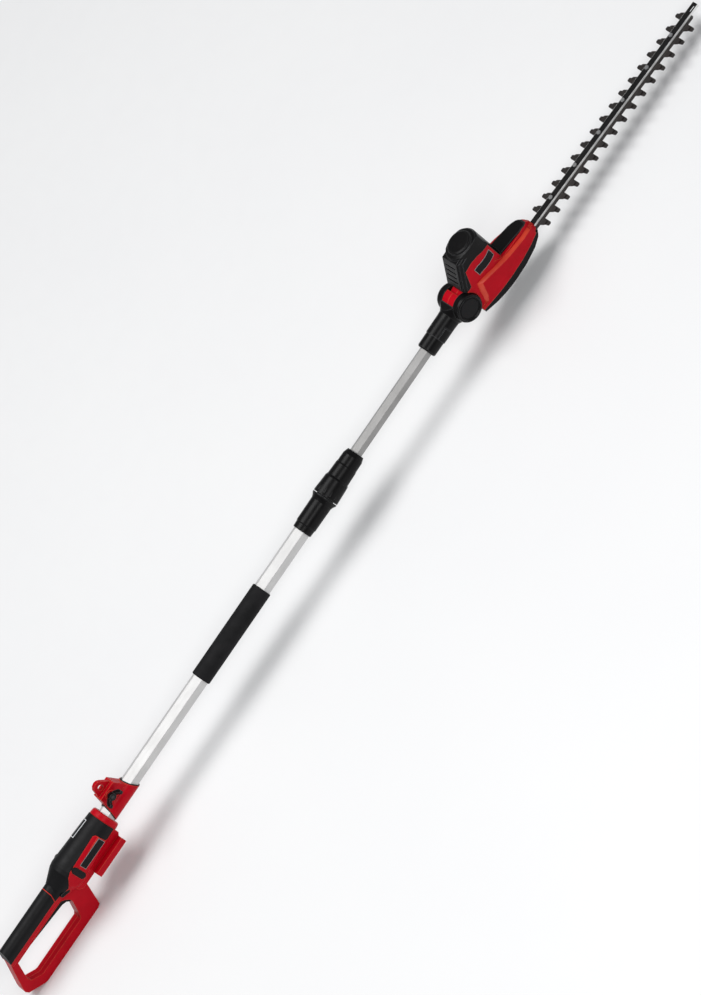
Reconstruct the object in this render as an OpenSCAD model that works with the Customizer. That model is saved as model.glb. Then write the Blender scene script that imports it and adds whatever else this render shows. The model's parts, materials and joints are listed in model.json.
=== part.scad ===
/* [Pole] */
// Width across the flats of the outer tube
outer_flats = 26.6; // [26.2:0.1:26.8]
// Width across the flats of the inner tube
inner_flats = 20; // [19.6:0.1:20.2]
// Wall of both tubes
tube_wall = 1.6; // [1.4:0.1:1.7]
// Length of inner tube that shows between the lock and the yoke
inner_shown = 205; // [190:1:380]
// Length of the foam grip
foam_length = 180; // [120:1:200]
// Radius of the foam grip
foam_radius = 17.2; // [16.6:0.1:19]

/* [Handle] */
// Width of the gripped part of the handle
grip_width = 30; // [28:0.5:32]
// Height of the gripped part of the handle
grip_height = 37; // [35:0.5:39]
// Width of the guard loop under the grip
guard_width = 20.8; // [18:0.2:22]
// Greatest radius of the handle body, at its rear
body_rear_r = 31.5; // [31:0.1:32.5]
// Radius of the handle body at its front
body_front_r = 26.5; // [26:0.1:27.5]
// Thickness of the soft black covers
cover_t = 2.5; // [2:0.1:2.8]
// Width of the trigger
trigger_width = 12; // [10:0.5:12]

/* [Strap bracket] */
// Radius of the bracket's collar
collar_r = 17.5; // [17.3:0.1:18.5]
// Radius of the strap eyelet
eyelet_r = 5.4; // [4:0.1:6]
// Height of the eyelet above the pole axis
eyelet_z = 48.5; // [47:0.5:50]

/* [Telescopic lock] */
// Length of the fixed collar of the lock
lock_base_length = 68; // [64:1:76]
// Length of the twist sleeve of the lock
sleeve_length = 89; // [84:1:96]

/* [Head] */
// Radius of the two hinge discs of the yoke
disc_r = 25.7; // [25:0.1:26.5]
// Half of the distance across the hinge discs
disc_y = 32; // [31:0.5:32.5]
// Nose-down angle of the head in the stored pose
head_droop = 2.6; // [0:0.1:4]
// Radius of the motor housing
motor_housing_r = 32; // [31.5:0.1:32.5]
// Radius of the release button
button_r = 18.5; // [17.5:0.1:18.6]

/* [Blade] */
// Distance from one tooth to the next
tooth_pitch = 26.7; // [26:0.1:27]
// Number of teeth along each side
tooth_count = 16; // [10:1:16]
// Half of the width over the long teeth
tooth_reach = 28; // [25:0.5:29]
// Half of the width of the blade between its teeth
spine_half = 9.5; // [9:0.1:10]
// Thickness of each blade
blade_t = 2; // [1.8:0.1:2]
// Width of the support bar above the blades
bar_width = 13; // [12:0.5:14]

/* [Gears] */
// Teeth of the motor pinion
pinion_teeth = 14; // [14:1:14]
// Teeth of the crank gear
crank_teeth = 42; // [42:1:42]

/* [Hidden] */
$fn = 64;

// Play of a shaft in its hole, and between parts that slide
run_gap = 0.05;
slide_gap = 0.3;
far_out = 400;

// Stations along the pole, measured forward from the rear end of the foam grip
socket_rear_x = -332;
body_front_x = -286.5;
socket_front_x = -275;
tube_rear_x = -330;
lock_x = 295.7;
tube_front_x = lock_x + 22;
sleeve_x = lock_x + lock_base_length + 1;
sleeve_front_x = sleeve_x + sleeve_length;
yoke_x = sleeve_front_x + inner_shown;
hinge_x = yoke_x + 98.5;
inner_front_x = yoke_x + 32;
inner_rear_x = inner_front_x - 770;
tip_x = 634.6;
rear_x = -595.5;
guard_z = -93;

// The frame's origin is under the middle of the whole tool, on the ground
frame_x = -(rear_x + hinge_x + tip_x * cos(head_droop) - 25.4 * sin(head_droop)) / 2;

// Handle outlines in the side view, as [x, z]
guard_outline = [
    [-566, -1], [-568.5, -3], [-593, -58], [-595.5, -66], [-593, -73.5], [-564, -91.5], [-558, guard_z],
    [-412, guard_z], [-405, -90], [-384, -31], [-378, -10], [-440, -1]
];
hand_outline = [
    [-560, -15.8], [-574.5, -53], [-573, -62], [-556, -73.6], [-552, -74.8], [-444, -74.8],
    [-439.5, -71], [-425, -37], [-425.5, -30], [-430, -22], [-436, -15.8]
];
body_block = [[-405, 0], [-402, -24], [-396, -31], [-294, -31], [body_front_x, -24], [body_front_x, 0]];
grip_cover_side = [[-571, -1], [-571, 30], [-434, 30], [-436, 12], [-442, -1]];
body_cover_side = [
    [-440.5, -1], [-434.5, 12], [-432.5, 30], [-432.5, 45], [-286, 45], [-286, -8.5], [-306, -8.5],
    [-309.5, -5], [-311, 15], [-315, 17.8], [-386, 17.8], [-395, 14.5], [-404, 5], [-410, -1]
];
trigger_outline = [
    [-540, -9], [-540, -17], [-535, -19], [-520, -20], [-440, -27], [-432, -30.5], [-427.5, -37.5],
    [-423.5, -37.5], [-423.5, -20], [-436, -12], [-520, -11], [-530, -7], [-536, -7]
];
grip_z = 1.7;
window_turn = 25.5;
pivot_x = -533;
pivot_z = -13;
pocket_half = trigger_width / 2 + 0.5;

// Battery shoe
shoe_x0 = -364;
shoe_x1 = -291.5;
shoe_half = 33;
shoe_top = -27.3;
shoe_bottom = -39.6;

// Strap bracket
boss_side = [[-264, 10], [-212, 10], [-222, 39], [-258, 39]];
ear_side = [
    [-259, 30], [-219, 30], [-226, 44], [-232.5, 56], [-236, 60], [-241, 61.5], [-247, 60], [-252, 55]
];
clamp_x = -242.5;
clamp_z = 28;

// Collar outline in the side view, with its ends pushed out by a given amount
function bracket_side(out) = [
    [-273.4 - out, -18], [-201.5 + out, -18], [-207.6 + out, 0], [-214 + out, 18], [-262.5 - out, 18],
    [-268.5 - out, 0]
];

// Head outlines, in the head's own frame with its origin on the hinge axis
base_half_plan = [
    [14, 26.5], [30, 28.4], [58, 31], [88, 31], [120, 28], [148, 22.5], [166, 16.5], [175, 10.5], [178, 5]
];
link_side = [
    [0, 22], [0, -20], [8, -20.5], [14, -22], [14, -31], [62.8, -31], [62.8, 53], [42, 53], [30, 21],
    [14, 18]
];
link_half = 24.5;

// Top line of the lower housing in the side view, at its middle and at the shoulder of its flanks
base_top = [
    [178, -31.5], [178, -15], [173, -7], [166, -4.6], [160, -2.5], [148, -1.2], [120, 1.9], [101, 4],
    [88, 14], [62, 20], [14, 20], [14, -31.5]
];
base_shoulder = [
    [178, -31.5], [178, -20], [173, -17.5], [166, -15.5], [148, -11.5], [120, -5], [101, -1],
    [88, 2.5], [62, 8], [46, 10.5], [37, -16], [30, -25.5], [14, -27.5], [14, -31.5]
];
// The ledge along the flanks is drawn in by this much, in so many steps
ledge = 6;
ledge_steps = 3;
cap_region = [
    [5, 17], [14, 18], [30, 21], [42, 50], [58, 52.5], [75, 52.5], [101, 43], [101, 5], [120, 5],
    [120, 100], [5, 100]
];
cap_side = [[14.5, 18], [14, 30], [41, 73], [75, 76], [75, 18]];
cover_half_plan = [[100, 16.5], [150, 15], [165, 11.5], [172, 6]];
cover_side = [[100, 4], [100, 7.2], [130, 4], [158, 0.3], [168, -2.8], [173, -7], [160, -2.5], [101, 4]];
plate_side = [
    [15, -31.6], [14, -36.5], [40, -41.5], [75, -44], [120, -44], [150, -42.5], [168, -39], [175, -34.5],
    [175, -31.6]
];
motor_x = 75;
housing_flank_r = 50;
housing_half = 26;
crank_x = motor_x + (pinion_teeth + crank_teeth) / 2;
foot_x = 127;
shell_t = 2.5;
barrel_r = 24.5;
barrel_y = 16;

// Blade stack, from the support bar's top down
bar_top = -25.4;
bar_t = 4;
upper_top = bar_top - bar_t - 0.1;
lower_top = upper_top - blade_t - 0.1;
lower_bottom = lower_top - blade_t;
tooth_x0 = 197.7;
blade_tip_x = 614.6;
throw = 8;
screw_spacing = 67.2;
screw_x0 = 231;

// Screws that close the handle and the head, as [x, z, depth of the seat]
handle_screw_at = [
    [-576.5, -38, 6.5], [-552, -84, 6.5], [-430, -84, 6.5], [-405, -36, 6.5], [-394, 22, 14],
    [-298, -22.5, 17]
];
head_screw_at = [[30, -24, 20], [150, -15, 14], [48.5, 36, 12]];

// Moves what is modelled on the pole axis into the frame
module in_frame() translate([frame_x, 0, -guard_z]) children();

// Moves what is modelled on the hinge axis into the frame
module in_head() in_frame() translate([hinge_x, 0, 0]) rotate([0, head_droop, 0]) children();

// Hexagonal bar along the pole with corners up and down
module hex_bar(flats, x0, x1)
    translate([x0, 0, 0]) rotate([0, 90, 0]) cylinder(r = flats / sqrt(3), h = x1 - x0, $fn = 6);

// Round bar along the pole
module pole_rod(r, x0, x1) translate([x0, 0, 0]) rotate([0, 90, 0]) cylinder(r = r, h = x1 - x0);

// Round bar across the pole, along y
module cross_rod(r, x, z, y0, y1) translate([x, y0, z]) rotate([-90, 0, 0]) cylinder(r = r, h = y1 - y0);

// Round bar upright
module upright_rod(r, x, z0, z1) translate([x, 0, z0]) cylinder(r = r, h = z1 - z0);

// Solid of revolution about the pole axis, from [x, radius] points
module spun(points) rotate([0, 90, 0]) rotate_extrude() polygon([for (p = points) [p[1], p[0]]]);

// Plate with an outline in the side view, centred on the middle plane
module side_plate(points, width)
    translate([0, width / 2, 0]) rotate([90, 0, 0]) linear_extrude(width) polygon(points);

// Plate with a symmetric outline in the plan view, from its half outline
module plan_plate(half, z0, z1) {
    last = len(half) - 1;
    translate([0, 0, z0]) linear_extrude(z1 - z0)
        polygon(concat(half, [for (k = [0:last]) [half[last - k][0], -half[last - k][1]]]));
}

// Half space on one side of the middle plane: side is -1 for the right, 1 for the left
module half_space(side)
    translate([-2 * far_out, side > 0 ? 0 : -far_out, -far_out]) cube([5 * far_out, far_out, 2 * far_out]);

// Box from its two corners
module box(a, b) translate(a) cube(b - a);

// Upright slot with round ends, its length along x
module slot(x0, x1, r, z0, z1) {
    upright_rod(r, x0, z0, z1);
    upright_rod(r, x1, z0, z1);
    box([x0, -r, z0], [x1, r, z1]);
}

// ---- Handle ----

// Gripped part: two round edges joined by flat sides
module grip_form(inset) {
    r = grip_width / 2 - inset;
    rise = (grip_height - grip_width) / 2;
    intersection() {
        translate([-580, 0, grip_z]) rotate([90, 0, 90]) linear_extrude(156) {
            translate([0, rise]) circle(r);
            translate([0, -rise]) circle(r);
            square([2 * r, 2 * rise], center = true);
        }
        side_plate([[inset - 569, -3], [inset - 559.5, 22], [-400, 22], [-400, -20], [inset - 569, -20]], 80);
    }
}

// Body around the pole: round, with flat sides
module barrel_form(inset)
    intersection() {
        spun([
            [-440, 0], [-440, 16 - inset], [-428, 18 - inset], [-396, body_rear_r - 1 - inset],
            [-388, body_rear_r - inset], [body_front_x, body_front_r - inset], [body_front_x, 0]
        ]);
        box([-445, inset - 27.5, -40], [-280, 27.5 - inset, 40]);
    }

module handle_outer() {
    difference() {
        union() {
            grip_form(0);
            barrel_form(0);
        }
        side_plate(grip_cover_side, 80);
        side_plate(body_cover_side, 80);
    }
    grip_form(cover_t + 0.05);
    barrel_form(cover_t + 0.05);
    difference() {
        side_plate(guard_outline, guard_width);
        side_plate(hand_outline, guard_width + 2);
    }
    side_plate(body_block, 44);
    box([-369, -27.4, -7.5], [-310.5, 27.4, 11]);
}

// Space inside the two handle shells
module handle_inside() {
    pole_rod(19.2, socket_rear_x - 0.5, body_front_x + 1);
    intersection() {
        barrel_form(5.5);
        box([-408, -18, -16], [-334, 18, 20]);
    }
    box([-430, -3, 2], [-400, 3, 8]);
    box([-544, -pocket_half, -38.2], [-421, pocket_half, 9]);
    box([-480, -9, -3], [-430, 9, 12]);
    box([-535, -6.5, -87], [-445, 6.5, -80.5]);
    cross_rod(2, pivot_x, pivot_z, -9.8, 9.8);
    lock_off_form(0.35, -40, -8);
    box([-350, -14, -32], [-337, 14, -10]);
    for (side = [-1, 1]) {
        side_pad_form(side, 0.02);
        box([-367.2, side > 0 ? 26.7 : -30, -6.2], [-311.8, side > 0 ? 30 : -26.7, 9.7]);
    }
}

module handle_shell(side)
    difference() {
        intersection() {
            handle_outer();
            half_space(side);
        }
        handle_inside();
        battery_shoe_form();
        for (p = handle_screw_at) screw_hole(p[0], p[1], p[2], 8);
    }

module screw_hole(x, z, y, deep) {
    cross_rod(1.6, x, z, -deep, y + 0.1);
    cross_rod(3.3, x, z, y, y + 30);
}

module screw(x, z, y, deep) {
    difference() {
        union() {
            cross_rod(1.6, x, z, -deep, y + 0.1);
            cross_rod(3.2, x, z, y, y + 2.4);
        }
        translate([x, y + 2.4, z]) for (a = [0, 90]) rotate([0, a, 0]) cube([4.2, 2.4, 0.9], center = true);
    }
}

module handle_shell_right() color("firebrick") in_frame() handle_shell(-1);

module handle_shell_left() color("firebrick") in_frame() handle_shell(1);

module grip_cover()
    color([0.12, 0.12, 0.13]) in_frame() difference() {
        intersection() {
            grip_form(0);
            side_plate(grip_cover_side, 80);
        }
        grip_form(cover_t);
    }

module body_cover()
    color([0.13, 0.13, 0.14]) in_frame() difference() {
        intersection() {
            union() {
                grip_form(0);
                barrel_form(0);
            }
            side_plate(body_cover_side, 80);
        }
        grip_form(cover_t);
        barrel_form(cover_t);
        side_plate(grip_cover_side, 80);
        lock_off_form(0.35, -40, -8);
        window_form(8.3, 18.6);
        cross_rod(3.3, -394, 22, 10, 40);
    }

// Window block on the left of the crown: half width and half length
module window_form(half, reach)
    intersection() {
        rotate([-window_turn, 0, 0]) box([-318 - reach, -half, 20], [-318 + reach, half, 40]);
        barrel_form(-0.6);
    }

module top_inset()
    color([0.06, 0.06, 0.07]) in_frame() difference() {
        window_form(7, 17.3);
        barrel_form(cover_t);
    }

module top_rim()
    color([0.8, 0.81, 0.82]) in_frame() difference() {
        window_form(8.3, 18.6);
        rotate([-window_turn, 0, 0]) box([-318 - 17.3, -7, 0], [-318 + 17.3, 7, 50]);
        barrel_form(cover_t);
    }

// Upright oval pad on one side of the body
module side_pad_form(side, grow) {
    y0 = side > 0 ? 24.5 : -28.3 - grow;
    for (z = [-8, 12]) cross_rod(6 + grow, -378.7, z, y0, y0 + 3.8 + grow);
    box([-384.7 - grow, y0, -8], [-372.7 + grow, y0 + 3.8 + grow, 12]);
}

module side_pads() color([0.1, 0.1, 0.11]) in_frame() for (side = [-1, 1]) side_pad_form(side, 0);

module handle_labels()
    color([0.05, 0.05, 0.05]) in_frame() for (side = [-1, 1])
        box([-367, side > 0 ? 26.7 : -27.9, -6], [-312, side > 0 ? 27.9 : -26.7, 9.5]);

module battery_shoe_form() {
    box([shoe_x0, -shoe_half, shoe_bottom], [shoe_x1, shoe_half, shoe_top]);
}

module battery_shoe()
    color("firebrick") in_frame() difference() {
        battery_shoe_form();
        box([shoe_x0 + 7, -27, shoe_bottom + 3.2], [shoe_x1 + 1, 27, shoe_top - 3.6]);
        box([shoe_x0 + 7, -23, shoe_bottom - 1], [shoe_x1 + 1, 23, shoe_bottom + 4]);
        box([shoe_x0 + 14, -14, -40], [shoe_x0 + 27, 14, -20]);
    }

module terminal_block()
    color([0.08, 0.08, 0.09]) in_frame() difference() {
        union() {
            box([-350, -14, -37.5], [-337, 14, -20]);
            box([-350, -10, -20], [-339, 10, -14]);
        }
        for (y = [-9, -3, 3, 9]) box([-340, y - 0.5, -36], [-336, y + 0.5, -22]);
    }

module terminals()
    color("goldenrod") in_frame()
        for (y = [-9, -3, 3, 9]) box([-340, y - 0.4, -35.5], [-324, y + 0.4, -32.5]);

module pole_socket()
    color("firebrick") in_frame() difference() {
        union() {
            pole_rod(19, socket_rear_x, body_front_x + 1);
            spun([
                [body_front_x, 0], [body_front_x, 25.2], [-284.5, 25.8], [-277, 24.8], [socket_front_x, 23],
                [socket_front_x, 0]
            ]);
        }
        hex_bar(outer_flats + 0.02, socket_rear_x - 1, socket_front_x + 1);
    }

module main_switch()
    color([0.1, 0.1, 0.1]) in_frame() {
        box([-474, -6, -2.5], [-444, 6, 11.5]);
        box([-462, -2.5, -5.2], [-456, 2.5, -2.5]);
    }

module control_board()
    color("seagreen") in_frame() {
        box([-404, -15, 2], [-338, 15, 3.6]);
        for (k = [0:3]) box([-398 + 14 * k, -10, 3.6], [-390 + 14 * k, 4, 8]);
    }

module handle_screws()
    color("dimgray") in_frame() for (p = handle_screw_at) screw(p[0], p[1], p[2], 7.8);

module trigger()
    color([0.08, 0.08, 0.09]) in_frame() difference() {
        union() {
            side_plate(trigger_outline, trigger_width);
            cross_rod(5, pivot_x, pivot_z, -trigger_width / 2, trigger_width / 2);
        }
        cross_rod(2 + run_gap, pivot_x, pivot_z, -20, 20);
    }

module trigger_pin() color("silver") in_frame() cross_rod(2, pivot_x, pivot_z, -9.8, 9.8);

module trigger_spring()
    color("silver") in_frame() difference() {
        upright_rod(3, -500, -11, 8.9);
        upright_rod(2, -500, -12, 10);
    }

// Slanted bar button with round ends, on the right side of the body
module lock_off_form(grow, y0, y1) {
    r = 3.5 + grow;
    translate([-419.5, y1, -4.2]) rotate([90, 20, 0]) linear_extrude(y1 - y0) {
        for (x = [-5.8, 5.8]) translate([x, 0]) circle(r);
        square([11.6, 2 * r], center = true);
    }
}

module lock_off_button() color([0.07, 0.07, 0.08]) in_frame() lock_off_form(0, -22, -12.4);

module lock_off_spring()
    color("silver") in_frame() difference() {
        cross_rod(2.4, -419.5, -4.2, -12.3, -8.1);
        cross_rod(1.6, -419.5, -4.2, -13, -7);
    }

// ---- Pole, foam grip and leads ----

module outer_tube()
    color("gainsboro") in_frame() difference() {
        hex_bar(outer_flats, tube_rear_x, tube_front_x);
        hex_bar(outer_flats - 2 * tube_wall, tube_rear_x - 1, tube_front_x + 1);
    }

module foam_grip()
    color([0.16, 0.16, 0.17]) in_frame() difference() {
        spun([
            [0, 0], [0, foam_radius - 1.5], [1.5, foam_radius], [foam_length - 1.5, foam_radius],
            [foam_length, foam_radius - 1.5], [foam_length, 0]
        ]);
        hex_bar(outer_flats + 0.02, -1, foam_length + 1);
    }

module coiled_lead() color([0.1, 0.1, 0.1]) in_frame() pole_rod(7, tube_rear_x + 2, inner_rear_x - 3.1);

module straight_lead() color([0.1, 0.1, 0.1]) in_frame() pole_rod(3, inner_rear_x - 3, yoke_x + 60);

// ---- Strap bracket ----

module strap_bracket()
    color("firebrick") in_frame() difference() {
        union() {
            intersection() {
                pole_rod(collar_r, -280, -195);
                side_plate(bracket_side(0), 60);
            }
            side_plate(boss_side, 22);
            side_plate(ear_side, 7);
            cross_rod(9, clamp_x, clamp_z, -12, 12);
        }
        pole_rod(collar_r - 1.3, -290, -190);
        box([-290, -0.6, 10], [-190, 0.6, 37]);
        cross_rod(3, clamp_x, clamp_z, -30, 30);
        cross_rod(eyelet_r, -241, eyelet_z, -30, 30);
    }

module bracket_liner()
    color([0.07, 0.07, 0.07]) in_frame() difference() {
        intersection() {
            pole_rod(collar_r - 1.3, -290, -190);
            side_plate(bracket_side(1.4), 60);
        }
        hex_bar(outer_flats + 0.2, -290, -190);
    }

module clamp_bolt()
    color("silver") in_frame() {
        cross_rod(3 - run_gap, clamp_x, clamp_z, -19.6, 12.1);
        translate([clamp_x, 12, clamp_z]) rotate([-90, 0, 0]) cylinder(r = 5.8, h = 4, $fn = 6);
    }

module wing_nut()
    color([0.08, 0.08, 0.08]) in_frame() translate([clamp_x, 0, clamp_z]) difference() {
        union() {
            cross_rod(6.5, 0, 0, -20, -12.3);
            for (side = [-1, 1])
                translate([0, 0, -3]) linear_extrude(6) polygon([
                    [0, -13], [side * 8, -13.5], [side * 13.5, -18], [side * 17, -23], [side * 17.5, -28],
                    [side * 15.5, -30.5], [side * 12, -29.5], [side * 9.5, -24], [side * 6, -20], [0, -19]
                ]);
        }
        cross_rod(3, 0, 0, -40, 0);
    }

// ---- Telescopic lock ----

module lock_base()
    color([0.11, 0.11, 0.12]) in_frame() difference() {
        spun([
            [lock_x, 0], [lock_x, 16.4], [lock_x + 1.2, 17.2], [lock_x + 11, 17.6], [lock_x + 13, 18.6],
            [sleeve_x - 12, 19], [sleeve_x - 8, 20.4], [sleeve_x - 3, 23.3], [sleeve_x - 1, 23.3],
            [sleeve_x - 1, 16.3], [sleeve_x + 34, 16.3], [sleeve_x + 34, 0]
        ]);
        hex_bar(outer_flats + 0.02, lock_x - 1, tube_front_x);
        pole_rod(14, tube_front_x - 0.01, sleeve_x + 40);
    }

module lock_collet()
    color([0.55, 0.56, 0.58]) in_frame() difference() {
        spun([
            [tube_front_x + 14, 0], [tube_front_x + 14, 13.95], [sleeve_x + 60, 13.95], [sleeve_x + 72, 13.2],
            [sleeve_x + 72, 0]
        ]);
        hex_bar(inner_flats + 0.7, tube_front_x, sleeve_front_x);
        for (a = [0:60:120]) rotate([a, 0, 0])
            box([sleeve_x + 10, -20, -0.8], [sleeve_x + 80, 20, 0.8]);
    }

module guide_bush()
    color([0.2, 0.2, 0.21]) in_frame() difference() {
        union() {
            hex_bar(outer_flats - 2 * tube_wall - 0.02, tube_front_x - 34, tube_front_x + 0.1);
            pole_rod(13.9, tube_front_x + 0.1, tube_front_x + 13.9);
        }
        hex_bar(inner_flats + 0.5, tube_front_x - 40, tube_front_x + 20);
    }

module twist_sleeve()
    color([0.12, 0.12, 0.13]) in_frame() difference() {
        spun([
            [sleeve_x, 0], [sleeve_x, 22.6], [sleeve_x + 1, 23.4], [sleeve_x + 33, 21.7],
            [sleeve_x + 37, 19.9], [sleeve_x + 60, 19.3], [sleeve_x + 63, 18.5], [sleeve_front_x - 9, 18.2],
            [sleeve_front_x - 2, 15.8], [sleeve_front_x, 15.2], [sleeve_front_x, 0]
        ]);
        spun([
            [sleeve_x - 1, 0], [sleeve_x - 1, 16.3 + slide_gap], [sleeve_x + 36, 16.3 + slide_gap],
            [sleeve_x + 36, 14.3], [sleeve_x + 76, 14.3], [sleeve_x + 78, 12.6], [sleeve_front_x + 1, 12.6],
            [sleeve_front_x + 1, 0]
        ]);
        for (a = [0:30:330]) rotate([a, 0, 0])
            translate([0, 0, 24.4]) pole_rod(1.8, sleeve_x + 5, sleeve_x + 29);
    }

// ---- Inner tube and yoke ----

module inner_tube()
    color("gainsboro") in_frame() difference() {
        hex_bar(inner_flats, inner_rear_x, inner_front_x);
        hex_bar(inner_flats - 2 * tube_wall + 0.4, inner_rear_x - 1, inner_front_x + 1);
    }

module tube_plug()
    color([0.1, 0.1, 0.1]) in_frame() difference() {
        hex_bar(outer_flats - 2 * tube_wall - 0.6, inner_rear_x - 3, inner_rear_x + 26);
        hex_bar(inner_flats, inner_rear_x, inner_rear_x + 30);
        pole_rod(8, inner_rear_x - 10, inner_rear_x + 10);
    }

module yoke()
    color([0.1, 0.1, 0.11]) in_frame() difference() {
        union() {
            spun([
                [yoke_x, 0], [yoke_x, 15.2], [yoke_x + 2.5, 17], [yoke_x + 27, 17.2], [yoke_x + 27, 18.4],
                [yoke_x + 67, 18.6], [yoke_x + 67, 0]
            ]);
            intersection() {
                spun([
                    [yoke_x + 60, 0], [yoke_x + 60, 18.6], [yoke_x + 68, 19], [yoke_x + 80, 26],
                    [yoke_x + 94, 33], [yoke_x + 94, 0]
                ]);
                box([yoke_x, -disc_y + 1, -21], [hinge_x, disc_y - 1, 21]);
            }
            translate([hinge_x, 0, 0]) {
                disc_form(-1);
                disc_form(1);
            }
        }
        hex_bar(inner_flats + 0.02, yoke_x - 1, inner_front_x);
        pole_rod(7, inner_front_x - 1, yoke_x + 68);
        translate([hinge_x, 0, 0]) {
            cross_rod(barrel_r + 0.6, 0, 0, -barrel_y - 0.3, barrel_y + 0.3);
            cross_rod(18.9, 0, 0, -disc_y - 1, -19);
            cross_rod(19, 0, 0, 22, disc_y + 1);
            cross_rod(4, 0, 0, -40, 40);
            disc_dish(-1);
            disc_dish(1);
        }
        for (side = [-1, 1]) neck_panel_cut(side);
    }

// One hinge disc with a rounded rim
module disc_form(side)
    rotate([0, 0, side < 0 ? 180 : 0]) rotate([-90, 0, 0]) rotate_extrude() polygon([
        [0, barrel_y + 0.3], [disc_r, barrel_y + 0.3], [disc_r, disc_y - 4.5], [disc_r - 1.2, disc_y - 1.4],
        [disc_r - 3.6, disc_y], [0, disc_y]
    ]);

// Sloping lip inside the rim of a hinge disc
module disc_dish(side)
    rotate([0, 0, side < 0 ? 180 : 0]) rotate([-90, 0, 0]) rotate_extrude() polygon([
        [0, disc_y - 2.4], [18.8, disc_y - 2.4], [21.4, disc_y + 0.1], [0, disc_y + 0.1]
    ]);

// Shallow step around the tongue that stands on each side of the neck
module neck_panel_cut(side) {
    for (z = [-8.5, 7]) box([yoke_x + 28, side * 17.4 - 1.5, z], [yoke_x + 50, side * 17.4 + 1.5, z + 1.5]);
    box([yoke_x + 48.5, side * 17.4 - 1.5, -8.5], [yoke_x + 50, side * 17.4 + 1.5, 8.5]);
}

module yoke_cap()
    color([0.09, 0.09, 0.1]) in_frame() translate([hinge_x, 0, 0]) difference() {
        cross_rod(19, 0, 0, 22, disc_y - 2.6);
        cross_rod(7.5, 0, 0, 21, 28);
    }

module hinge_bolt()
    color("silver") in_frame() translate([hinge_x, 0, 0]) {
        cross_rod(4, 0, 0, -18.9, 23);
        translate([0, 22, 0]) rotate([-90, 0, 0]) cylinder(r = 6.6, h = 5, $fn = 6);
    }

module release_button()
    color([0.06, 0.06, 0.07]) in_frame() translate([hinge_x, 0, 0]) difference() {
        union() {
            cross_rod(button_r, 0, 0, -29.6, -26);
            cross_rod(button_r - 1.5, 0, 0, -30, -29.6);
        }
        cross_rod(5, 0, 0, -27.5, -20);
    }

module button_spring()
    color("silver") in_frame() translate([hinge_x, 0, 0]) difference() {
        cross_rod(8, 0, 0, -25.9, -19.1);
        cross_rod(6.8, 0, 0, -30, -15);
    }

// Locking star in the middle of the hinge
module detent_star()
    color("dimgray") in_frame() translate([hinge_x, 0, 0]) difference() {
        union() {
            cross_rod(11, 0, 0, -15.7, -8.5);
            for (a = [0:30:330]) rotate([0, a, 0]) box([9, -15.7, -1.6], [13, -8.5, 1.6]);
        }
        cross_rod(4 + run_gap, 0, 0, -20, 0);
    }

// ---- Head ----

// Lower housing: flanks up to a shoulder, then a ledge rising in small steps to a narrower upper part
module base_form() {
    for (k = [0:ledge_steps]) intersection() {
        base_plan(ledge * k / ledge_steps, -31.5, 30);
        side_plate([for (p = base_shoulder) [p[0], p[1] + (p[1] > -30 ? 1.4 * k : 0)]], 80);
    }
    intersection() {
        base_plan(ledge, -31.5, 30);
        side_plate(base_top, 80);
    }
}

// Room inside the lower housing
module base_room() {
    for (part = [[shell_t, base_shoulder], [ledge + shell_t, base_top]]) intersection() {
        base_plan(part[0], -40, 30);
        side_plate([
            for (p = part[1]) [max(p[0] - shell_t, 14 + shell_t), p[1] - (p[1] > -30 ? shell_t : 9)]
        ], 80);
    }
}

// Plan of the lower housing, drawn in by an amount
module base_plan(inset, z0, z1)
    plan_plate([for (p = base_half_plan) [p[0], max(p[1] - inset, 1.5)]], z0, z1);

// Motor housing: round at the front and rear, with fuller flanks
module housing_form(inset, z0, z1)
    intersection() {
        upright_rod(motor_housing_r - inset, motor_x, z0, z1);
        translate([0, housing_flank_r - housing_half, 0])
            upright_rod(housing_flank_r - inset, motor_x, z0, z1);
        translate([0, housing_half - housing_flank_r, 0])
            upright_rod(housing_flank_r - inset, motor_x, z0, z1);
    }

module head_outer() {
    base_form();
    housing_form(0, -20, 53);
    side_plate(link_side, 2 * link_half);
    cross_rod(barrel_r, 0, 0, -barrel_y, barrel_y);
}

// Room for the hinge discs, all the way round the hinge axis
module disc_room()
    for (side = [-1, 1]) cross_rod(disc_r + 0.8, 0, 0, side > 0 ? barrel_y : -40, side > 0 ? 40 : -barrel_y);

module head_inside() {
    base_room();
    housing_form(shell_t, -40, 60);
    box([90, -14, -40], [200, 14, -29]);
    box([140, -bar_width / 2 - 0.3, -40], [200, bar_width / 2 + 0.3, bar_top + 0.3]);
    cross_rod(4 + run_gap, 0, 0, -40, 40);
    cross_rod(13.6, 0, 0, -barrel_y - 1, -8.5);
    side_plate([[16, -24], [45, -24], [45, 12], [28, 12]], 40);
}

module head_shell(side)
    difference() {
        intersection() {
            head_outer();
            half_space(side);
        }
        side_plate(cap_region, 80);
        disc_room();
        head_inside();
        for (s = [-1, 1]) head_label_form(s, 0.02);
        for (p = head_screw_at) screw_hole(p[0], p[1], p[2], 16);
    }

module head_shell_right() color("firebrick") in_head() head_shell(-1);

module head_shell_left() color("firebrick") in_head() head_shell(1);

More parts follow.
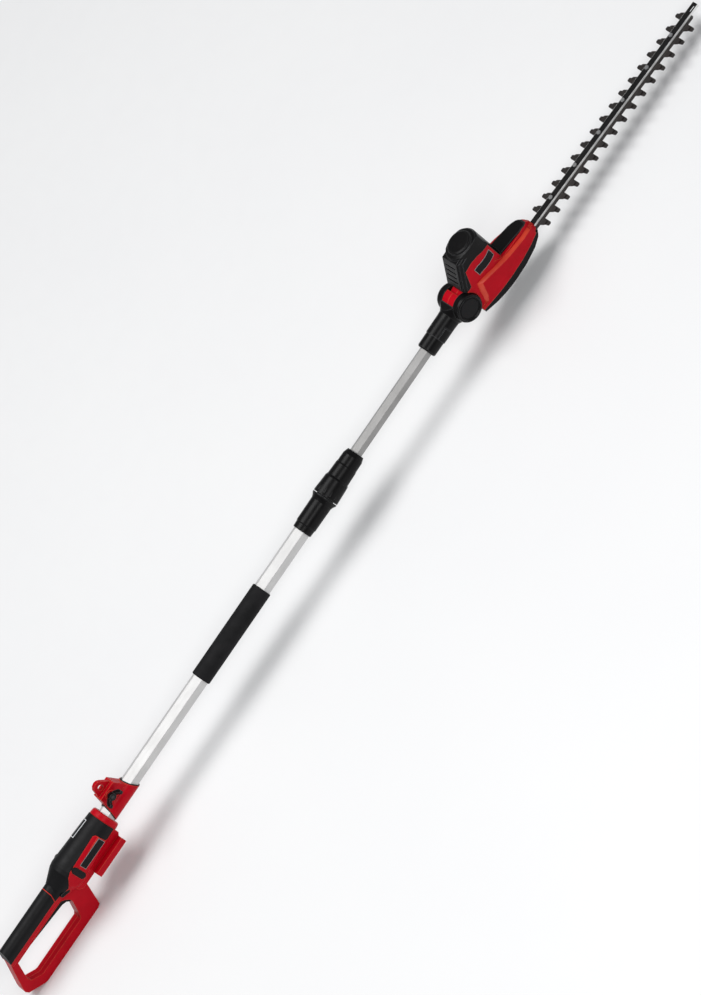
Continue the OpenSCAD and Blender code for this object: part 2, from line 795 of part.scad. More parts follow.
module motor_cap()
    color([0.09, 0.09, 0.1]) in_head() difference() {
        intersection() {
            union() {
                housing_form(0, 5, 70);
                intersection() {
                    housing_form(0, 60, 90);
                    translate([motor_x, 0, 0]) rotate_extrude() polygon([
                        [0, 60], [motor_housing_r + 1, 60], [motor_housing_r + 1, 71], [29.5, 76], [23.5, 78],
                        [22.5, 81], [20, 82.4], [0, 83]
                    ]);
                }
                side_plate(cap_side, 40);
                side_plate([for (p = cap_side) [p[0] + 2.5, p[1] - 3]], 46);
                side_plate([for (p = cap_side) [p[0] + 8, p[1] - 7]], 49);
            }
            side_plate([for (p = cap_region) [p[0], p[1] + 0.05]], 80);
        }
        housing_form(shell_t, 0, 69);
        upright_rod(20, motor_x, 0, 78);
        side_plate([[32, 10], [30, 32], [47, 62], [62, 66], [62, 10]], 36);
        disc_room();
        for (k = [0:3]) translate([20 + 5 * k, 0, 39.5 + 8 * k]) rotate([0, 32, 0])
            box([-9, -15, -1.7], [9, 15, 1.7]);
    }

module front_cover()
    color([0.1, 0.1, 0.11]) in_head() difference() {
        intersection() {
            plan_plate(cover_half_plan, -10, 20);
            side_plate(cover_side, 60);
        }
        housing_form(-0.05, -20, 60);
    }

module guard_plate()
    color([0.1, 0.1, 0.11]) in_head() difference() {
        intersection() {
            plan_plate([for (p = base_half_plan) [min(p[0], 175), p[1]]], -50, -31.6);
            side_plate(plate_side, 80);
        }
        difference() {
            intersection() {
                plan_plate([
                    for (p = base_half_plan) [p[0] + (p[0] > 100 ? -4 : 6), p[1] - shell_t]
                ], -39, -30);
                side_plate([for (p = plate_side) [p[0], p[1] + 3]], 80);
            }
            upright_rod(11, crank_x, -42, -35);
        }
        box([90, -14, -34.2], [200, 14, -29]);
        upright_rod(8, crank_x, -40, -30);
    }

// Label plate wrapped on the motor housing, one side
module head_label_form(side, grow)
    intersection() {
        difference() {
            union() {
                housing_form(-0.5 - grow, 20, 45);
                box([50, -link_half - 0.5 - grow, 20], [62.8, link_half + 0.5 + grow, 45]);
            }
            housing_form(0.8, 19, 46);
            box([49, 0.8 - link_half, 19], [62.8, link_half - 0.8, 46]);
        }
        box([54 - grow, side > 0 ? 5 : -40, 22 - grow], [96 + grow, side > 0 ? 40 : -5, 38 + grow]);
    }

module head_labels() color([0.05, 0.05, 0.05]) in_head() for (side = [-1, 1]) head_label_form(side, 0);

module head_screws()
    color("dimgray") in_head() for (p = head_screw_at) screw(p[0], p[1], p[2], 15.8);

module gear_plate()
    color("silver") in_head() difference() {
        union() {
            plan_plate([[48, 24], [60, 27], [88, 27], [112, 22], [117, 19], [foot_x + 18, 13.5]], -12, -8);
            box([foot_x, -9, bar_top], [foot_x + 18, 9, -11]);
        }
        upright_rod(7, motor_x, -13, 0);
        upright_rod(8, crank_x, -13, 0);
        for (x = [4.5, 13.5]) upright_rod(2, foot_x + x, -30, 0);
    }

module ring(x, outer, inner, z0, z1)
    difference() {
        upright_rod(outer, x, z0, z1);
        upright_rod(inner, x, z0 - 1, z1 + 1);
    }

module bearings()
    color("lightgray") in_head() {
        ring(motor_x, 7, 2.5 + run_gap, -12, -8);
        ring(crank_x, 8, 4 + run_gap, -12, -8);
        ring(crank_x, 8, 4 + run_gap, -40, -35.5);
    }

module motor()
    color("gray") in_head() difference() {
        union() {
            upright_rod(22, motor_x, -8, 56);
            upright_rod(9, motor_x, 56, 60);
        }
        upright_rod(2.5 + run_gap, motor_x, -10, 70);
    }

// Involute gear with a bore
module gear(teeth, z0, z1, bore, turn) {
    m = 1;
    rp = m * teeth / 2;
    rb = rp * cos(20);
    ra = rp + 0.9 * m;
    rf = rp - 1.25 * m;
    half = 90 / teeth + (tan(20) * 180 / PI - 20) - 1.2 * 14 / teeth;
    steps = 5;
    flank = [for (k = [0:steps]) max(rb, rf) + (ra - max(rb, rf)) * k / steps];
    lag = [for (r = flank) let (a = acos(min(1, rb / r))) tan(a) * 180 / PI - a];
    up = [for (k = [0:steps]) [flank[k], -half + lag[k]]];
    down = [for (k = [0:steps]) [flank[steps - k], half - lag[steps - k]]];
    tooth = concat([[rf, -half]], up, down, [[rf, half]]);
    points = [
        for (t = [0:teeth - 1], p = tooth) let (a = 360 * t / teeth + p[1]) p[0] * [cos(a), sin(a)]
    ];
    difference() {
        translate([0, 0, z0]) rotate([0, 0, turn]) linear_extrude(z1 - z0) polygon(points);
        translate([0, 0, z0 - 1]) cylinder(r = bore, h = z1 - z0 + 2);
    }
}

module rotor_shaft()
    color("lightgray") in_head() {
        upright_rod(2.5, motor_x, -19.8, 74);
        translate([motor_x, 0, 0]) gear(pinion_teeth, -19.5, -13, 2.5, 0);
    }

module cooling_fan()
    color([0.2, 0.2, 0.22]) in_head() translate([motor_x, 0, 0]) difference() {
        union() {
            translate([0, 0, 62.5]) cylinder(r = 20, h = 1.5);
            translate([0, 0, 62.5]) cylinder(r = 6, h = 8);
            for (a = [0:40:320]) rotate([0, 0, a]) box([5, -0.8, 63], [19, 0.8, 69]);
        }
        translate([0, 0, 60]) cylinder(r = 2.5, h = 20);
    }

module crank_gear()
    color("darkgray") in_head() translate([crank_x, 0, 0]) {
        gear(crank_teeth, -19.5, -13.2, 4, 180 / crank_teeth + 180);
        translate([0, 0, -40]) cylinder(r = 4, h = 32);
        translate([0, throw, -22]) cylinder(r = 10, h = 2.6);
        translate([0, -throw, -24.6]) cylinder(r = 10, h = 2.6);
    }

// ---- Cutting bar ----

module blade_bar()
    color([0.12, 0.12, 0.13]) in_head() difference() {
        box([foot_x, -bar_width / 2, bar_top - bar_t], [tip_x, bar_width / 2, bar_top]);
        slot(619.5, 627.5, 3, bar_top - 10, bar_top + 10);
        for (x = [4.5, 13.5]) upright_rod(2, foot_x + x, -40, 0);
        for (k = [0:5]) upright_rod(2.5, screw_x0 + k * screw_spacing, -40, 0);
    }

module bar_bolts()
    color("silver") in_head() for (x = [4.5, 13.5]) {
        upright_rod(2, foot_x + x, bar_top - bar_t, -7.9);
        upright_rod(3.6, foot_x + x, -8, -5);
    }

module blade_screws()
    color("silver") in_head() for (k = [0:5]) {
        x = screw_x0 + k * screw_spacing;
        upright_rod(2.5, x, lower_bottom - 2.6, bar_top + 0.1);
        upright_rod(4, x, bar_top, bar_top + 2);
        upright_rod(4.6, x, lower_bottom - 2.6, lower_bottom - 0.3);
    }

// Half outline of one blade's teeth on the side where they lean forward
function tooth_side(long) = long
    ? [
        [0, spine_half], [0.2, 25.5], [1.6, tooth_reach], [6.6, tooth_reach], [8, 26], [9, 20],
        [12.5, spine_half]
    ]
    : [[1.2, spine_half], [2, 20], [3.2, 21], [10.2, 20.2], [11.4, 18.6], [15.4, spine_half]];

// Whole plan outline of a blade: tail, teeth along one side, tip, teeth back along the other
function blade_outline(long) =
    let (side = tooth_side(long), n = len(side) - 1)
    concat(
        [[80, 17], [122, 17], [150, spine_half]],
        [for (t = [0:tooth_count - 1]) each [for (p = side) [tooth_x0 + t * tooth_pitch + p[0], p[1]]]],
        [[blade_tip_x - 3, spine_half], [blade_tip_x, spine_half - 3], [blade_tip_x, 3 - spine_half],
            [blade_tip_x - 3, -spine_half]],
        [for (t = [0:tooth_count - 1]) each
            [for (k = [0:n]) [tooth_x0 + (tooth_count - 1 - t) * tooth_pitch - side[k][0], -side[k][1]]]],
        [[150, -spine_half], [122, -17], [80, -17]]
    );

module blade(long, top)
    difference() {
        translate([0, 0, top - blade_t]) linear_extrude(blade_t) polygon(blade_outline(long));
        slot(crank_x - throw - 1, crank_x + throw + 1, 5, top - 10, top + 10);
        for (k = [0:5]) slot(
            screw_x0 + k * screw_spacing - throw - 0.5, screw_x0 + k * screw_spacing + throw + 0.5, 2.9,
            top - 10, top + 10
        );
    }

module upper_blade() color([0.22, 0.2, 0.2]) in_head() blade(false, upper_top);

module lower_blade() color([0.16, 0.15, 0.15]) in_head() blade(true, lower_top);

handle_shell_right();
handle_shell_left();
grip_cover();
body_cover();
top_inset();
top_rim();
side_pads();
handle_labels();
battery_shoe();
terminal_block();
terminals();
pole_socket();
main_switch();
control_board();
handle_screws();
trigger();
trigger_pin();
trigger_spring();
lock_off_button();
lock_off_spring();
outer_tube();
foam_grip();
coiled_lead();
strap_bracket();
bracket_liner();
clamp_bolt();
wing_nut();
lock_base();
lock_collet();
guide_bush();
twist_sleeve();
inner_tube();
tube_plug();
straight_lead();
yoke();
yoke_cap();
hinge_bolt();
release_button();
button_spring();
detent_star();
head_shell_right();
head_shell_left();
motor_cap();
front_cover();
guard_plate();
head_labels();
head_screws();
gear_plate();
bearings();
motor();
rotor_shaft();
cooling_fan();
crank_gear();
blade_bar();
bar_bolts();
blade_screws();
upper_blade();
lower_blade();
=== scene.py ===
import json
import math

import bmesh
import bpy
from mathutils import Matrix, Vector


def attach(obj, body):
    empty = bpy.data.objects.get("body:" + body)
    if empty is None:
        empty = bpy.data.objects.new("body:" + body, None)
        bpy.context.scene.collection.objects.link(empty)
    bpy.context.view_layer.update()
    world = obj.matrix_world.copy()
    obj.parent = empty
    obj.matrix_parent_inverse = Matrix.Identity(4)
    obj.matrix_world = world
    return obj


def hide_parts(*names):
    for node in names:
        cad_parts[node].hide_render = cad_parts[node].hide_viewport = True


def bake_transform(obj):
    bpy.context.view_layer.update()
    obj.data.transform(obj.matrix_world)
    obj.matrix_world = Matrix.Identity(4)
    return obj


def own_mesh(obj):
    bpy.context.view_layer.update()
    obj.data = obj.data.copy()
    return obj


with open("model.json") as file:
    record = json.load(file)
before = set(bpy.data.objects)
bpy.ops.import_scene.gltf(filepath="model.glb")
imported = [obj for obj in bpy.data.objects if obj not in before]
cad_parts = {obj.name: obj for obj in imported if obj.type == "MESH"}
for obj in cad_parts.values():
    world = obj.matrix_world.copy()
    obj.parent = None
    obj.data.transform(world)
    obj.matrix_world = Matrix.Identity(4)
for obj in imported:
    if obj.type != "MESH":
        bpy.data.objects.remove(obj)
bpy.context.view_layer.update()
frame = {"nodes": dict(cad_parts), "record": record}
NODES = frame["nodes"]

# ---------------------------------------------------------------- materials


class Mat:
    """Small builder for a procedural material around one Principled shader."""

    def __init__(self, name):
        self.m = bpy.data.materials.new(name)
        self.m.use_nodes = True
        self.t = self.m.node_tree
        self.b = self.t.nodes["Principled BSDF"]
        self.co = self.t.nodes.new("ShaderNodeTexCoord").outputs["Object"]

    def node(self, kind, **sockets):
        n = self.t.nodes.new(kind)
        for k, v in sockets.items():
            n.inputs[k].default_value = v
        return n

    def link(self, a, b):
        self.t.links.new(a, b)

    def set(self, **values):
        for k, v in values.items():
            self.b.inputs[k.replace("_", " ")].default_value = v
        return self

    def stretched(self, scale, turn=(0, 0, 0)):
        n = self.t.nodes.new("ShaderNodeMapping")
        n.inputs["Scale"].default_value = scale
        n.inputs["Rotation"].default_value = turn
        self.link(self.co, n.inputs["Vector"])
        return n.outputs["Vector"]

    def noise(self, scale, detail=3.0, rough=0.5, co=None):
        n = self.node("ShaderNodeTexNoise", Scale=scale, Detail=detail, Roughness=rough)
        self.link(co or self.co, n.inputs["Vector"])
        return n.outputs["Fac"]

    def ramp(self, fac, *stops):
        n = self.t.nodes.new("ShaderNodeValToRGB")
        e = n.color_ramp.elements
        while len(e) < len(stops):
            e.new(0.5)
        for k, (at, c) in enumerate(stops):
            e[k].position = at
            e[k].color = (c, c, c, 1) if isinstance(c, (int, float)) else (*c, 1)
        self.link(fac, n.inputs["Fac"])
        return n.outputs["Color"]

    def mix(self, fac, a, b):
        n = self.t.nodes.new("ShaderNodeMix")
        n.data_type = "RGBA"
        if isinstance(fac, (int, float)):
            n.inputs[0].default_value = fac
        else:
            self.link(fac, n.inputs[0])
        for k, v in ((6, a), (7, b)):
            if isinstance(v, tuple):
                n.inputs[k].default_value = (*v, 1)
            else:
                self.link(v, n.inputs[k])
        return n.outputs[2]

    def math(self, op, a, b=0.0):
        n = self.t.nodes.new("ShaderNodeMath")
        n.operation = op
        for k, v in ((0, a), (1, b)):
            if isinstance(v, (int, float)):
                n.inputs[k].default_value = v
            else:
                self.link(v, n.inputs[k])
        return n.outputs[0]

    def color(self, out):
        self.link(out, self.b.inputs["Base Color"])
        return self

    def rough(self, fac, low, high):
        n = self.node("ShaderNodeMapRange")
        n.inputs["To Min"].default_value = low
        n.inputs["To Max"].default_value = high
        n.inputs["From Min"].default_value = 0.3
        n.inputs["From Max"].default_value = 0.7
        self.link(fac, n.inputs["Value"])
        self.link(n.outputs["Result"], self.b.inputs["Roughness"])
        return self

    def bump(self, *layers, soften=0.0):
        """layers: (height, depth in metres). They add up, on edges rounded by soften."""
        last = None
        if soften:
            n = self.node("ShaderNodeBevel", Radius=soften)
            n.samples = 6
            last = n.outputs["Normal"]
        for height, depth in layers:
            n = self.node("ShaderNodeBump", Strength=1.0, Distance=depth)
            self.link(height, n.inputs["Height"])
            if last:
                self.link(last, n.inputs["Normal"])
            last = n.outputs["Normal"]
        self.link(last, self.b.inputs["Normal"])
        return self

    def local(self, place, turn=0.0):
        """x, y, z in a frame at place, turned about y."""
        n = self.t.nodes.new("ShaderNodeMapping")
        back = Matrix.Rotation(-turn, 3, "Y")
        n.inputs["Location"].default_value = -(back @ Vector(place))
        n.inputs["Rotation"].default_value = (0, -turn, 0)
        self.link(self.co, n.inputs["Vector"])
        s = self.t.nodes.new("ShaderNodeSeparateXYZ")
        self.link(n.outputs["Vector"], s.inputs[0])
        return s.outputs

    def over(self, value, limit):
        """1 where the size of value is over limit."""
        return self.math("GREATER_THAN", self.math("ABSOLUTE", value), limit)

    def edges(self, radius=0.0012):
        """1 along sharp edges, 0 on flat surface."""
        n = self.node("ShaderNodeBevel", Radius=radius)
        n.samples = 4
        g = self.t.nodes.new("ShaderNodeNewGeometry")
        d = self.t.nodes.new("ShaderNodeVectorMath")
        d.operation = "DOT_PRODUCT"
        self.link(n.outputs["Normal"], d.inputs[0])
        self.link(g.outputs["Normal"], d.inputs[1])
        return self.ramp(d.outputs["Value"], (0.80, 1.0), (0.985, 0.0))


# Width and colour of the border line on the blank plates
BORDER = 0.0007
BORDER_GREY = (0.30, 0.30, 0.31)


def plastic(name, base, other, rough=(0.36, 0.5), grain=2600.0, depth=0.00004, edge_highlight=None, spec=0.25,
            soften=0.0015, frame_of=None):
    """Moulded plastic, mottled, dusty and grained. Its edge colour, when given, is a painted highlight
    along its edges, broken up by scuff noise.

    frame_of draws a border round a flat plate: the plate's centre, its turn about y, and its half sizes."""
    m = Mat(name)
    mottle = m.noise(38.0, 4.0, 0.6)
    col = m.mix(m.ramp(mottle, (0.35, 0.0), (0.7, 1.0)), base, other)
    dust = m.noise(420.0, 2.0, 0.7)
    dusty = tuple(min(1, c * 1.6 + 0.03) for c in base)
    col = m.mix(m.math("MULTIPLY", m.ramp(dust, (0.62, 0.0), (0.8, 1.0)), 0.10), col, dusty)
    # Painted highlight: the edge colour laid along sharp edges, broken up by scuff noise.
    if edge_highlight:
        scuff = m.noise(260.0, 3.0, 0.7)
        rim = m.math("MULTIPLY", m.edges(0.0022), m.ramp(scuff, (0.3, 0.55), (0.62, 1.0)))
        col = m.mix(m.math("MULTIPLY", rim, 0.8), col, edge_highlight)
    if frame_of:
        place, turn, half_x, half_z = frame_of
        x, _, z = m.local(place, turn)
        line = m.math("MAXIMUM", m.over(x, half_x - BORDER), m.over(z, half_z - BORDER))
        col = m.mix(line, col, BORDER_GREY)
    m.color(col).rough(m.noise(90.0, 4.0, 0.6), *rough)
    m.bump((m.noise(grain, 2.0, 0.5), depth), (m.noise(60.0, 2.0), depth * 0.6), soften=soften)
    m.set(Specular_IOR_Level=spec)
    return m.m


def metal(name, base, other, rough, stretch, depth=0.000012, metallic=1.0, grain=900.0):
    """Metal with fine grain, drawn out into lines along each axis where stretch is under 1."""
    m = Mat(name)
    lines = m.noise(grain, 3.0, 0.6, co=m.stretched(stretch))
    cloud = m.noise(24.0, 4.0, 0.6)
    col = m.mix(m.ramp(cloud, (0.35, 0.0), (0.7, 1.0)), base, other)
    darker = tuple(c * 0.7 for c in base)
    col = m.mix(m.math("MULTIPLY", m.ramp(lines, (0.4, 0.0), (0.7, 1.0)), 0.22), col, darker)
    m.color(col).rough(lines, *rough)
    m.bump((lines, depth))
    m.set(Metallic=metallic)
    return m.m


# Half width of the blade bar's blackened face; the bare ground edges lie outside it, painted near-white as
# a painted highlight
BAR_BLACK_HALF = 0.00625


def bar_steel():
    """Blackened flat bar with bare ground edges, painted near-white as a painted highlight."""
    m = Mat("bar_steel")
    cloud = m.noise(30.0, 4.0, 0.6)
    black = m.mix(m.ramp(cloud, (0.35, 0.0), (0.7, 1.0)), (0.006, 0.006, 0.006), (0.010, 0.0095, 0.010))
    lines = m.noise(700.0, 3.0, 0.6, co=m.stretched((0.03, 1, 1)))
    # The bare edges' near-white colour is a painted highlight.
    bare_glint = m.mix(m.ramp(lines, (0.3, 0.0), (0.7, 1.0)), (0.92, 0.92, 0.91), (0.72, 0.72, 0.71))
    _, y, _ = m.local((0, 0, 0))
    edge = m.over(y, BAR_BLACK_HALF)
    m.color(m.mix(edge, black, bare_glint))
    m.rough(m.noise(120.0, 4.0, 0.6), 0.34, 0.48)
    m.link(m.math("MULTIPLY", edge, 0.25), m.b.inputs["Metallic"])
    m.bump((lines, 0.00001), (m.noise(90.0), 0.00001))
    m.set(Specular_IOR_Level=0.15)
    return m.m


# Where the handle's own frame and the head's have their origins: on the pole's axis, and on the hinge
POLE = Vector((-0.397247, 0.0, 0.093))
HINGE = Vector((0.359953, 0.0, 0.093))
# How far the head leans down from the pole at rest
DROOP = math.radians(2.6)
HEAD_TURN = Matrix.Rotation(DROOP, 3, "Y")
# The blank plates: centre, turn about y, half length and half height
HANDLE_PLATE = (POLE + Vector((-0.3395, 0, 0.00175)), 0.0, 0.0275, 0.00775)
HEAD_PLATE = (HINGE + HEAD_TURN @ Vector((0.075, 0, 0.030)), DROOP, 0.021, 0.008)

# The red shell's lighter orange edge colour is a painted highlight.
RED = plastic("red_shell", (0.48, 0.0017, 0.011), (0.41, 0.0013, 0.009), (0.28, 0.38),
              edge_highlight=(0.74, 0.10, 0.05), spec=0.08)
# A lighter orange copy of the red shell for the ledge band, a painted highlight.
LEDGE_HIGHLIGHT_RED = plastic("ledge_highlight_red", (0.66, 0.055, 0.026), (0.56, 0.038, 0.018), (0.30, 0.38), spec=0.3,
                    soften=0.002)
# The black plastic's grey edge colour is a painted highlight.
BLACK = plastic("black_plastic", (0.0035, 0.0033, 0.0035), (0.005, 0.0047, 0.005), (0.26, 0.36),
                edge_highlight=(0.10, 0.10, 0.104), spec=0.12)
SOFT = plastic("black_cover", (0.005, 0.005, 0.0055), (0.008, 0.0077, 0.0085), (0.42, 0.54),
               grain=1500.0, depth=0.00007, spec=0.14)
GLOSS = plastic("gloss_black", (0.003, 0.003, 0.004), (0.005, 0.005, 0.0055), (0.12, 0.18),
                depth=0.000006, spec=0.15)
RIM = plastic("rim_grey", (0.72, 0.73, 0.75), (0.64, 0.65, 0.67), (0.28, 0.38), depth=0.00002)
LABEL = plastic("label", (0.004, 0.004, 0.0045), (0.006, 0.006, 0.0065), (0.20, 0.28),
                depth=0.000008, spec=0.12, frame_of=HANDLE_PLATE)
HEAD_LABEL = plastic("head_label", (0.004, 0.004, 0.0045), (0.006, 0.006, 0.0065), (0.20, 0.28),
                     depth=0.000008, spec=0.12, frame_of=HEAD_PLATE)
FOAM = plastic("foam", (0.006, 0.006, 0.0065), (0.011, 0.0105, 0.0115), (0.62, 0.74),
               grain=1400.0, depth=0.00018, spec=0.14)
TUBE = metal("tube_aluminium", (0.62, 0.615, 0.61), (0.56, 0.555, 0.55), (0.36, 0.48), (0.03, 1, 1),
             metallic=0.4)
INNER = metal("inner_tube_aluminium", (0.34, 0.335, 0.33), (0.28, 0.275, 0.27), (0.34, 0.46), (0.03, 1, 1),
              metallic=0.55)
OXIDE = metal("black_oxide_steel", (0.035, 0.035, 0.037), (0.025, 0.025, 0.027), (0.34, 0.46), (1, 1, 1),
              grain=300.0, metallic=0.5)
STEEL = metal("steel", (0.55, 0.55, 0.56), (0.48, 0.48, 0.5), (0.25, 0.4), (1, 1, 0.1))
ZINC = metal("zinc_steel", (0.50, 0.50, 0.49), (0.42, 0.43, 0.45), (0.28, 0.42), (1, 1, 1), grain=300.0)
BLADE = metal("blade_steel", (0.030, 0.024, 0.022), (0.016, 0.013, 0.0125), (0.36, 0.5), (0.08, 1, 1),
              depth=0.00002, metallic=0.35)
BAR = bar_steel()
GREY = plastic("grey_plastic", (0.26, 0.27, 0.28), (0.22, 0.23, 0.24), (0.4, 0.52))
BOARD = plastic("board", (0.02, 0.16, 0.07), (0.015, 0.12, 0.05), (0.25, 0.35))
BRASS = metal("brass", (0.72, 0.52, 0.22), (0.62, 0.44, 0.18), (0.22, 0.34), (0.1, 1, 1))
LEAD = plastic("lead_rubber", (0.012, 0.012, 0.012), (0.018, 0.018, 0.018), (0.5, 0.62))

# The material of each of the record's slots, and of the nodes that differ from their slot
MATS = {
    "red_shell": RED, "black_cover": SOFT, "black_plastic": BLACK, "gloss_black": GLOSS, "rim_grey": RIM,
    "label": LABEL, "foam": FOAM, "tube_aluminium": TUBE, "steel": STEEL, "zinc_steel": ZINC,
    "blade_steel": BLADE, "bar_steel": BAR, "grey_plastic": GREY, "board": BOARD, "brass": BRASS,
    "lead_rubber": LEAD,
}
OWN = {
    "inner_tube": INNER, "clamp_bolt": OXIDE, "head_labels": HEAD_LABEL, "handle_screws": OXIDE,
    "head_screws": OXIDE,
}

# Widths of the rounded edges, in metres
BEVELS = {
    "handle_shell_right": 0.0012, "handle_shell_left": 0.0012, "grip_cover": 0.0008,
    "body_cover": 0.0008, "battery_shoe": 0.0009, "pole_socket": 0.0008, "strap_bracket": 0.0010,
    "wing_nut": 0.0010, "trigger": 0.0010, "side_pads": 0.0006, "lock_off_button": 0.0008,
    "outer_tube": 0.0009, "inner_tube": 0.0008, "head_shell_right": 0.0012, "head_shell_left": 0.0012,
    "motor_cap": 0.0010, "front_cover": 0.0010, "guard_plate": 0.0012, "yoke": 0.0008,
    "yoke_cap": 0.0008, "release_button": 0.0008, "blade_bar": 0.0004, "upper_blade": 0.0003,
    "lower_blade": 0.0003, "twist_sleeve": 0.0005, "lock_base": 0.0005,
}

for sub in frame["record"]["subparts"]:
    o = NODES[sub["node"]]
    o.data.materials.clear()
    o.data.materials.append(OWN.get(sub["node"], MATS[sub["material_slot"]]))
    width = BEVELS.get(sub["node"])
    if width:
        b = o.modifiers.new("soft_edges", "BEVEL")
        b.width = width
        b.segments = 2
        b.limit_method = "ANGLE"
        b.angle_limit = math.radians(32)
        b.harden_normals = True
        b.use_clamp_overlap = True

# ---------------------------------------------------------------- springs and the coiled lead


def coil(name, ends, radius, wire, turns, body, node, slot, steps=18, sides=8):
    """Helix of round wire between two points, with its outer radius and its wire's radius given.

    It stands for a plain CAD ring or bar."""
    a, b = ends
    axis = (b - a).normalized()
    side = axis.orthogonal().normalized()
    other = axis.cross(side)
    run = (b - a).length - 2 * wire
    verts, faces = [], []
    count = int(turns * steps) + 1
    for k in range(count):
        angle = 2 * math.pi * k / steps
        out = side * math.cos(angle) + other * math.sin(angle)
        middle = a + axis * (wire + run * k / (count - 1)) + out * (radius - wire)
        for j in range(sides):
            c = 2 * math.pi * j / sides
            verts.append(middle + (out * math.cos(c) + axis * math.sin(c)) * wire)
    for k in range(count - 1):
        for j in range(sides):
            p, q = k * sides + j, k * sides + (j + 1) % sides
            faces.append((p, q, q + sides, p + sides))
    faces.append(tuple(range(sides - 1, -1, -1)))
    faces.append(tuple(range((count - 1) * sides, count * sides)))
    me = bpy.data.meshes.new(name)
    me.from_pydata([tuple(v) for v in verts], [], faces)
    me.polygons.foreach_set("use_smooth", [True] * (len(faces) - 2) + [False, False])
    me.materials.append(MATS[slot])
    o = bpy.data.objects.new(name, me)
    bpy.context.scene.collection.objects.link(o)
    if body:
        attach(o, body)
    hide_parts(node)
    return o


def at(x, y, z):
    """A point in the handle's own millimetres, in the row frame."""
    return POLE + Vector((x, y, z)) * 0.001


# Both ends of each coil
TRIGGER_SPRING = (at(-500, 0, -11), at(-500, 0, 8.9))
LOCK_OFF_SPRING = (at(-419.5, -12.3, -4.2), at(-419.5, -8.1, -4.2))
RELEASE_SPRING = (at(757.2, -25.9, 0), at(757.2, -19.1, 0))
COILED_LEAD = (at(-328, 0, 0), at(-82.4, 0, 0))

s = coil("trigger_coil", TRIGGER_SPRING, 0.003, 0.0004, 8, "handle", "trigger_spring", "steel")
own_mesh(s)
s = coil("lock_off_coil", LOCK_OFF_SPRING, 0.0024, 0.00025, 4, "handle", "lock_off_spring", "steel")
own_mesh(s)
s = coil("release_coil", RELEASE_SPRING, 0.008, 0.0005, 3.5, "inner_pole", "button_spring", "steel",
         steps=32)
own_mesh(s)
s = coil("lead_coil", COILED_LEAD, 0.007, 0.0019, 34, None, "coiled_lead", "lead_rubber")
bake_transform(s)

# ---------------------------------------------------------------- ledges along the head's flanks

# Stations from the rear foot of the ledge, up and forward to its tip, in the head's millimetres:
# outer x, |y|, z, then inner x, |y|, z
LEDGE = [
    (30.5, 28.6, -26.5, 25.0, 24.3, -26.5), (37.0, 29.1, -16.0, 29.5, 24.3, -14.0),
    (42.0, 29.7, -1.5, 34.0, 24.3, 1.5), (46.0, 30.2, 10.0, 39.5, 24.3, 15.5),
    (53.0, 30.7, 9.4, 52.0, 24.5, 13.8), (62.0, 31.1, 8.0, 62.0, 24.9, 12.4),
    (75.0, 31.1, 5.3, 75.0, 24.9, 9.7), (88.0, 31.1, 2.5, 88.0, 24.9, 6.9),
    (101.0, 30.2, -1.0, 101.0, 23.9, 3.4), (120.0, 28.1, -5.0, 120.0, 21.9, -0.6),
    (134.0, 25.4, -8.2, 134.0, 19.2, -3.8), (148.0, 22.6, -11.5, 148.0, 16.4, -7.1),
    (157.0, 19.6, -13.5, 157.0, 13.4, -9.1), (166.0, 16.6, -15.5, 166.0, 10.4, -11.1),
]
# Where points lie across the band, how far its middle is raised and how deep its back lies, in mm
ACROSS = (0.0, 0.18, 0.5, 0.82, 1.0)
CROWN = 0.5
SUNK = 1.5


def ledge(side):
    """Smooth sloping band over the stepped ledge on one side of the head."""
    name = "ledge_right" if side < 0 else "ledge_left"
    bm = bmesh.new()
    rings = []
    for ox, oy, oz, ix, iy, iz in LEDGE:
        o = Vector((ox, side * oy, oz))
        i = Vector((ix, side * iy, iz))
        out = Vector((0, side, 0.9)).normalized()
        ring = [o + (i - o) * part + out * CROWN * math.sin(math.pi * part) for part in ACROSS]
        ring += [i - out * SUNK, o - out * SUNK]
        rings.append([bm.verts.new(HINGE + HEAD_TURN @ (v * 0.001)) for v in ring])
    n = len(rings[0])
    for a, b in zip(rings, rings[1:]):
        for j in range(n):
            k = (j + 1) % n
            bm.faces.new((a[j], a[k], b[k], b[j]) if side < 0 else (a[j], b[j], b[k], a[k]))
    bm.faces.new(rings[0][::-1] if side < 0 else rings[0])
    bm.faces.new(rings[-1] if side < 0 else rings[-1][::-1])
    bmesh.ops.recalc_face_normals(bm, faces=bm.faces)
    for f in bm.faces:
        f.smooth = True
    me = bpy.data.meshes.new(name)
    bm.to_mesh(me)
    bm.free()
    # The band's lighter red is a painted highlight.
    me.materials.append(LEDGE_HIGHLIGHT_RED)
    o = bpy.data.objects.new(name, me)
    bpy.context.scene.collection.objects.link(o)
    b = o.modifiers.new("rounded", "BEVEL")
    b.width = 0.0006
    b.segments = 2
    b.limit_method = "ANGLE"
    b.angle_limit = math.radians(35)
    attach(o, "head")
    return o


ledge(-1)
ledge(1)

# ---------------------------------------------------------------- stage and camera

# How far the pole leans from upright in the picture, and how far the camera looks down
POLE_TURN = math.radians(34.55)
LOOK_DOWN = math.radians(42.0)
# What the camera aims at, the height that the picture takes in there, and the camera's distance from it
TARGET = Vector((-0.0092, 0.0, 0.0465))
FIELD_H = 1.653
DIST = 12.0
SENSOR = 36.0
FLOOR_HALF = 9

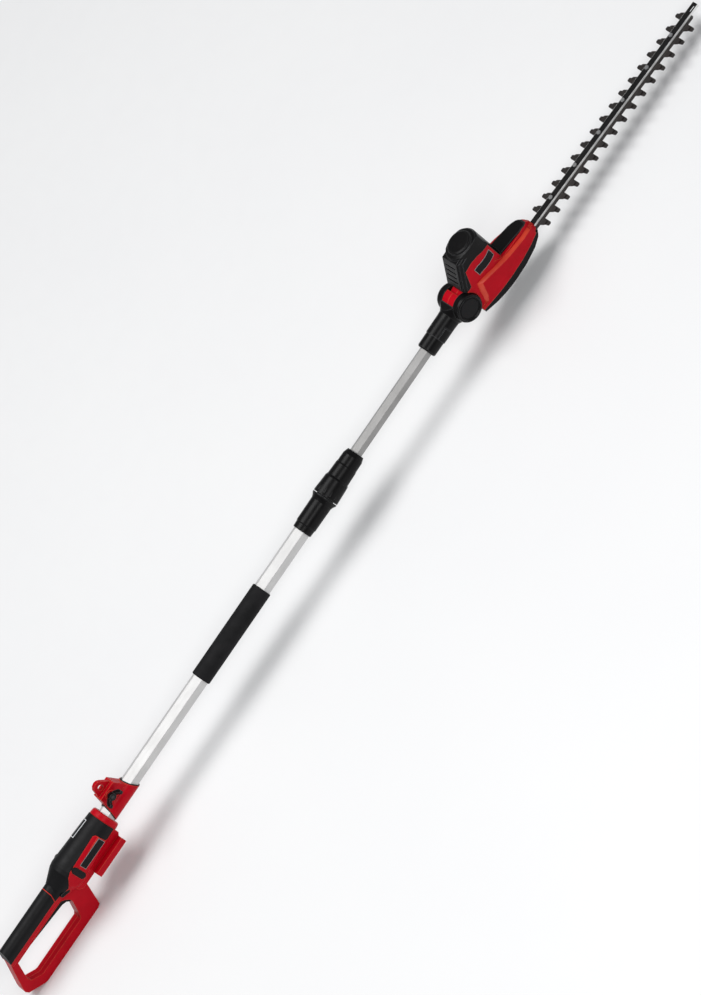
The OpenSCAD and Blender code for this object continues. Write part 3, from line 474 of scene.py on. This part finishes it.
along = Vector((1, 0, 0))
back = Vector((0, -math.cos(LOOK_DOWN), math.sin(LOOK_DOWN)))
upward = Vector((0, math.sin(LOOK_DOWN), math.cos(LOOK_DOWN)))
right = along * math.sin(POLE_TURN) - upward * math.cos(POLE_TURN)
up = along * math.cos(POLE_TURN) + upward * math.sin(POLE_TURN)
cam_data = bpy.data.cameras.new("camera")
cam = bpy.data.objects.new("camera", cam_data)
bpy.context.scene.collection.objects.link(cam)
cam_data.sensor_width = SENSOR
cam_data.lens = SENSOR * DIST / FIELD_H
cam_data.clip_start = 0.5
cam_data.clip_end = 60.0
m = Matrix((right, up, back)).transposed().to_4x4()
m.translation = TARGET + back * DIST
cam.matrix_world = m
bpy.context.scene.camera = cam

me = bpy.data.meshes.new("floor")
corners = [(-1, -1), (1, -1), (1, 1), (-1, 1)]
me.from_pydata([(x * FLOOR_HALF, y * FLOOR_HALF, 0) for x, y in corners], [], [(0, 1, 2, 3)])
floor = bpy.data.objects.new("floor", me)
bpy.context.scene.collection.objects.link(floor)
fm = Mat("pale_floor")
cloud = fm.ramp(fm.noise(1.5, 3.0), (0.3, 0.0), (0.7, 1.0))
fm.color(fm.mix(cloud, (0.86, 0.86, 0.86), (0.84, 0.84, 0.845)))
fm.rough(fm.noise(30.0), 0.55, 0.7)
fm.bump((fm.noise(300.0), 0.00005))
me.materials.append(fm.m)

world = bpy.data.worlds.new("studio")
bpy.context.scene.world = world
world.use_nodes = True
world.node_tree.nodes["Background"].inputs[0].default_value = (0.95, 0.97, 1.0, 1)
world.node_tree.nodes["Background"].inputs[1].default_value = 0.25
bpy.context.scene.view_settings.view_transform = "Standard"
bpy.context.scene.view_settings.look = "None"


def area(name, place, aim, size, power):
    """White rectangular light at place, turned to aim, with its size in metres and its power in watts."""
    d = bpy.data.lights.new(name, "AREA")
    d.shape = "RECTANGLE"
    d.size, d.size_y = size
    d.energy = power
    o = bpy.data.objects.new(name, d)
    bpy.context.scene.collection.objects.link(o)
    o.location = place
    o.rotation_euler = (Vector(aim) - Vector(place)).to_track_quat("-Z", "Y").to_euler()
    return o


area("key", (-0.5, 0.8, 5.4), (-0.1, 0.2, 0), (4.2, 2.8), 228)
area("front", (0.2, -3.1, 2.8), (0, 0, 0.03), (3.4, 1.1), 62).visible_camera = False
